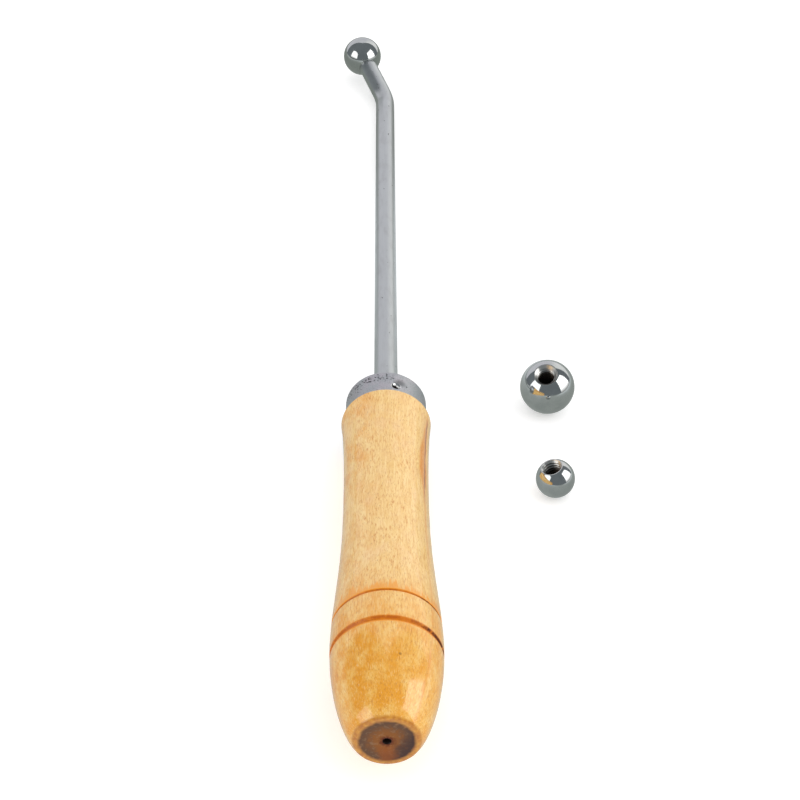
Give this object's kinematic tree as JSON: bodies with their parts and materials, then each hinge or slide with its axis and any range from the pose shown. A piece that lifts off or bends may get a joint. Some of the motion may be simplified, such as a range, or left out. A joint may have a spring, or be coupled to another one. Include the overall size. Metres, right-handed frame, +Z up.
{
  "type": "ball-end forming tool",
  "caption": "Hand forming tool with a turned wooden handle, a steel ferrule, a rod bent near its tip and polished screw-on balls for pressing curves into sheet metal.",
  "frame": {"origin": "middle of the footprint of the whole set, on the bench that it lies on", "axes": "+Z up, +Y from the handle towards the tip along the length of the tool, +X to the right where the spare balls lie"},
  "size_m": [0.0626, 0.3102, 0.0266],
  "materials": {
    "lacquered_wood": "pale wood under a glossy yellow lacquer, darker in the grooves and on the butt",
    "zinc_steel": "dull grey zinc with small dark pits",
    "pin_steel": "bright worn head",
    "drawn_steel": "satin, drawn lengthwise",
    "polished_steel": "mirror polish"
  },
  "bodies": {
    "tool": {"wood_handle": "lacquered_wood", "ferrule": "zinc_steel", "ferrule_pin": "pin_steel", "steel_rod": "drawn_steel"},
    "fitted_ball": {"tip_ball": "polished_steel"},
    "large_ball": {"spare_ball_large": "polished_steel"},
    "small_ball": {"spare_ball_small": "polished_steel"}
  },
  "joints": [
    {"name": "tip_ball_unscrew", "type": "slide", "parent": "tool", "child": "fitted_ball", "axis": [-0.3426, 0.9036, 0.2572], "range_m": [0, 0.014]},
    {"name": "large_ball_lift", "type": "slide", "parent": "tool", "child": "large_ball", "axis": [0, 0, 1], "range_m": [0, 0.03]},
    {"name": "small_ball_lift", "type": "slide", "parent": "tool", "child": "small_ball", "axis": [0, 0, 1], "range_m": [0, 0.03]}
  ]
}
